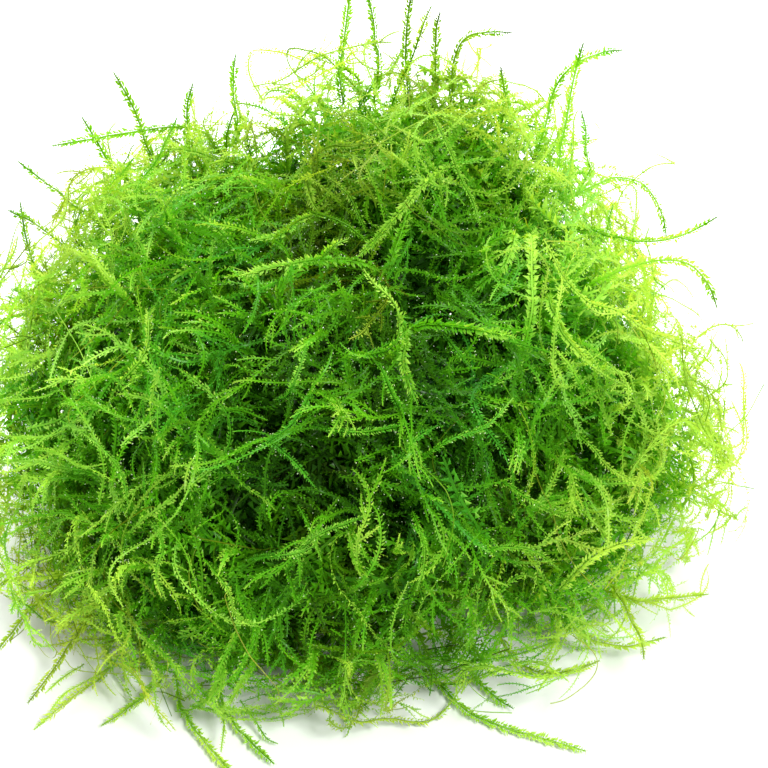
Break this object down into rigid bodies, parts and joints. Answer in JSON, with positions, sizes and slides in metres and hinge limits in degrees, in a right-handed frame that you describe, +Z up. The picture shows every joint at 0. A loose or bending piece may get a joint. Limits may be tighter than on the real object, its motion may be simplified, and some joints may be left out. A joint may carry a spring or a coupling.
{
  "type": "java moss clump",
  "caption": "Loose, tangled clump of leafy aquarium moss, with thin feathery shoots that stand out of it or trail beside it, lying on its flattened underside.",
  "frame": {"origin": "middle of the whole clump's box, on the surface that it lies on", "axes": "+Z up; +X to the right as the picture shows it, along the clump's longest side; +Y away from the viewer, to the back"},
  "size_m": [0.1118, 0.1002, 0.0696],
  "materials": {
    "tangle": "dense tangle of damp, deep green leafy shoots",
    "bright_shoot": "thin translucent yellow-green leaves with a slight wet gloss",
    "green_shoot": "damp mid-green leaves with a slight wet gloss",
    "olive_shoot": "older olive-green leaves on brown wiry stems"
  },
  "bodies": {
    "root": {"moss_mat": "tangle", "crest_wisp_1": "bright_shoot", "crest_wisp_2": "bright_shoot", "crest_wisp_3": "bright_shoot", "crest_wisp_4": "bright_shoot", "crest_arch": "bright_shoot", "crest_tip": "bright_shoot", "upper_left_band": "bright_shoot", "upper_left_tip_1": "bright_shoot", "upper_left_tip_2": "bright_shoot", "upper_left_tip_3": "bright_shoot", "upper_left_tip_4": "bright_shoot", "left_tip_1": "green_shoot", "left_tip_2": "green_shoot", "left_tip_3": "green_shoot", "left_tip_4": "green_shoot", "draped_shoot_1": "green_shoot", "draped_shoot_2": "green_shoot", "draped_shoot_3": "green_shoot", "draped_shoot_4": "green_shoot", "draped_shoot_5": "green_shoot", "draped_shoot_6": "green_shoot", "draped_shoot_7": "green_shoot", "draped_shoot_8": "green_shoot", "right_fan_1": "bright_shoot", "right_fan_2": "bright_shoot", "right_fan_3": "bright_shoot", "right_arc_1": "bright_shoot", "right_arc_2": "bright_shoot", "right_arc_3": "bright_shoot", "right_loop_1": "bright_shoot", "right_loop_2": "bright_shoot", "right_hair": "bright_shoot", "right_stem": "bright_shoot", "lower_right_1": "olive_shoot", "lower_right_2": "olive_shoot", "lower_right_3": "olive_shoot", "lower_right_4": "olive_shoot", "lower_left_1": "olive_shoot", "lower_left_2": "olive_shoot", "lower_left_3": "olive_shoot", "front_strand_1": "bright_shoot", "front_strand_2": "bright_shoot", "front_strand_3": "bright_shoot", "front_tuft_1": "bright_shoot", "front_tuft_2": "bright_shoot", "front_tuft_3": "bright_shoot", "back_shoot_1": "green_shoot", "back_shoot_2": "green_shoot", "back_shoot_3": "green_shoot", "back_shoot_4": "green_shoot", "back_shoot_5": "green_shoot", "back_shoot_6": "green_shoot", "back_shoot_7": "green_shoot", "back_shoot_8": "green_shoot", "back_shoot_9": "green_shoot", "back_shoot_10": "green_shoot", "back_shoot_11": "green_shoot"}
  },
  "joints": []
}
